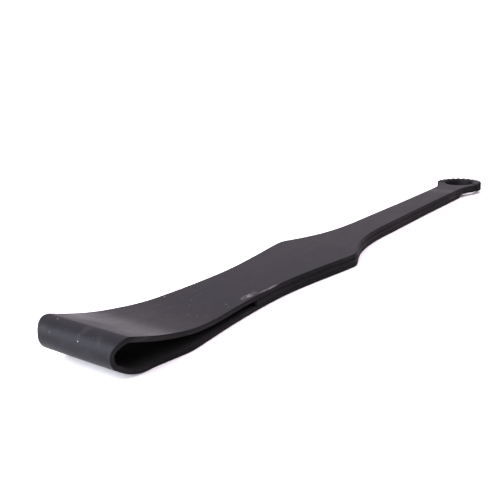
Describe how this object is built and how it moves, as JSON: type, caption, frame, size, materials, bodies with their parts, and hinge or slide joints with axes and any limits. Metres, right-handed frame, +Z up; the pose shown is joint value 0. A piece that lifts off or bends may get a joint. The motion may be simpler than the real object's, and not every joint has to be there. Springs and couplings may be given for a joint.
{
  "type": "long shoehorn",
  "caption": "Long shoehorn: a springy strip folded into a teardrop loop forms the blade, on a slim flat handle that ends in a flared round grip with a raised, ribbed rim and a hanging hole.",
  "frame": {"origin": "on the resting plane, under the middle of the length and width", "axes": "+X along the length from the folded blade to the hanging end, +Z up from the resting plane, +Y across the width"},
  "size_m": [0.4676, 0.0572, 0.0211],
  "materials": {
    "strip": "soft matte charcoal, flexible, faintly rubbery sheen",
    "core": "matte charcoal, rigid",
    "stiffener": "plain cold-rolled spring steel, hidden",
    "grip": "matte charcoal soft-touch, ribbed round the end"
  },
  "bodies": {
    "root": {"blade_strip": "strip", "handle_core": "core", "stiffener_bar": "stiffener", "end_grip": "grip"}
  },
  "joints": []
}
